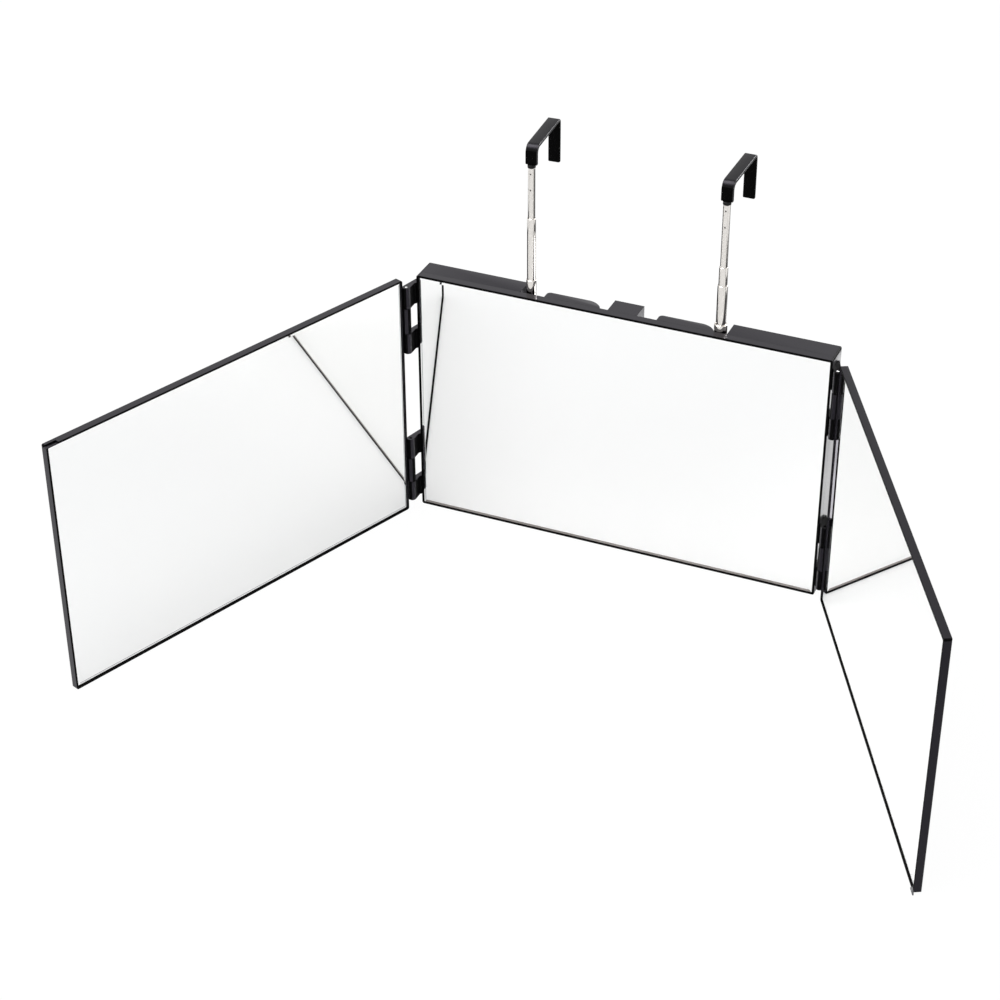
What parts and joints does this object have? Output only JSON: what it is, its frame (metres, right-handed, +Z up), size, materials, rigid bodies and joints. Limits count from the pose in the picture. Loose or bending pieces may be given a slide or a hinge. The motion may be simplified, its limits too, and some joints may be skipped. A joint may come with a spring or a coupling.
{
  "type": "folding mirror",
  "caption": "Folding makeup mirror with hinged side panels in black frames and telescopic rods with swivelling hooks that hang it over a door or store in its back.",
  "frame": {"origin": "middle of the flat bottom of the centre panel, half way through its depth", "axes": "+X along the centre panel to its right as seen from the front, +Y to its back, +Z up"},
  "size_m": [0.5703, 0.3509, 0.296],
  "materials": {
    "frame_plastic": "satin black, fine grain",
    "mirror_glass": "silvered glass with a polished bevel",
    "foam_tape": "matte foam tape",
    "chrome_tube": "polished chrome",
    "bronze_bush": "turned bronze",
    "hook_strap": "satin black paint",
    "hook_plastic": "matte black",
    "clear_rubber": "clear soft rubber",
    "steel": "bright steel"
  },
  "bodies": {
    "center_panel": {"center_frame": "frame_plastic", "center_glass": "mirror_glass", "center_tape": "foam_tape", "rear_housing": "frame_plastic", "housing_screws": "steel", "left_guide_tube": "chrome_tube", "right_guide_tube": "chrome_tube", "upper_left_hinge_pin": "steel", "lower_left_hinge_pin": "steel", "upper_right_hinge_pin": "steel", "lower_right_hinge_pin": "steel"},
    "left_panel": {"left_frame": "frame_plastic", "left_glass": "mirror_glass", "left_tape": "foam_tape"},
    "right_panel": {"right_frame": "frame_plastic", "right_glass": "mirror_glass", "right_tape": "foam_tape", "right_bumper": "clear_rubber"},
    "left_outer_stage": {"left_outer_tube": "chrome_tube", "left_outer_bush": "bronze_bush"},
    "left_lower_stage": {"left_lower_tube": "chrome_tube", "left_lower_bush": "bronze_bush"},
    "left_middle_stage": {"left_middle_tube": "chrome_tube", "left_middle_bush": "bronze_bush"},
    "left_upper_stage": {"left_upper_tube": "chrome_tube", "left_upper_bush": "bronze_bush"},
    "left_hook_arm": {"left_hook_stem": "hook_plastic", "left_hook": "hook_strap"},
    "right_outer_stage": {"right_outer_tube": "chrome_tube", "right_outer_bush": "bronze_bush"},
    "right_lower_stage": {"right_lower_tube": "chrome_tube", "right_lower_bush": "bronze_bush"},
    "right_middle_stage": {"right_middle_tube": "chrome_tube", "right_middle_bush": "bronze_bush"},
    "right_upper_stage": {"right_upper_tube": "chrome_tube", "right_upper_bush": "bronze_bush"},
    "right_hook_arm": {"right_hook_stem": "hook_plastic", "right_hook": "hook_strap"}
  },
  "joints": [
    {"name": "left_panel_hinge", "type": "hinge", "parent": "center_panel", "child": "left_panel", "pos_m": [-0.154, -0.0183, 0], "axis": [0, 0, -1], "range_deg": [-111.3, 68.7]},
    {"name": "right_panel_hinge", "type": "hinge", "parent": "center_panel", "child": "right_panel", "pos_m": [0.154, -0.0115, 0], "axis": [0, 0, 1], "range_deg": [-117.8, 62.2]},
    {"name": "left_outer_slide", "type": "slide", "parent": "center_panel", "child": "left_outer_stage", "axis": [0, 0, 1], "range_m": [0, 0.042]},
    {"name": "left_lower_slide", "type": "slide", "parent": "left_outer_stage", "child": "left_lower_stage", "axis": [0, 0, 1], "range_m": [-0.0243, 0.0344]},
    {"name": "left_middle_slide", "type": "slide", "parent": "left_lower_stage", "child": "left_middle_stage", "axis": [0, 0, 1], "range_m": [-0.0451, 0.0146]},
    {"name": "left_upper_slide", "type": "slide", "parent": "left_middle_stage", "child": "left_upper_stage", "axis": [0, 0, 1], "range_m": [-0.0362, 0.0245]},
    {"name": "left_hook_swivel", "type": "hinge", "parent": "left_upper_stage", "child": "left_hook_arm", "pos_m": [-0.0684, 0.0006, 0.2803], "axis": [0, 0, 1], "range_deg": [-85.5, 6.5]},
    {"name": "right_outer_slide", "type": "slide", "parent": "center_panel", "child": "right_outer_stage", "axis": [0, 0, 1], "range_m": [-0.0206, 0.0214]},
    {"name": "right_lower_slide", "type": "slide", "parent": "right_outer_stage", "child": "right_lower_stage", "axis": [0, 0, 1], "range_m": [-0.0281, 0.0306]},
    {"name": "right_middle_slide", "type": "slide", "parent": "right_lower_stage", "child": "right_middle_stage", "axis": [0, 0, 1], "range_m": [-0.0125, 0.0472]},
    {"name": "right_upper_slide", "type": "slide", "parent": "right_middle_stage", "child": "right_upper_stage", "axis": [0, 0, 1], "range_m": [-0.0444, 0.0163]},
    {"name": "right_hook_swivel", "type": "hinge", "parent": "right_upper_stage", "child": "right_hook_arm", "pos_m": [0.0684, 0.0006, 0.2803], "axis": [0, 0, -1], "range_deg": [-90, 10]}
  ]
}
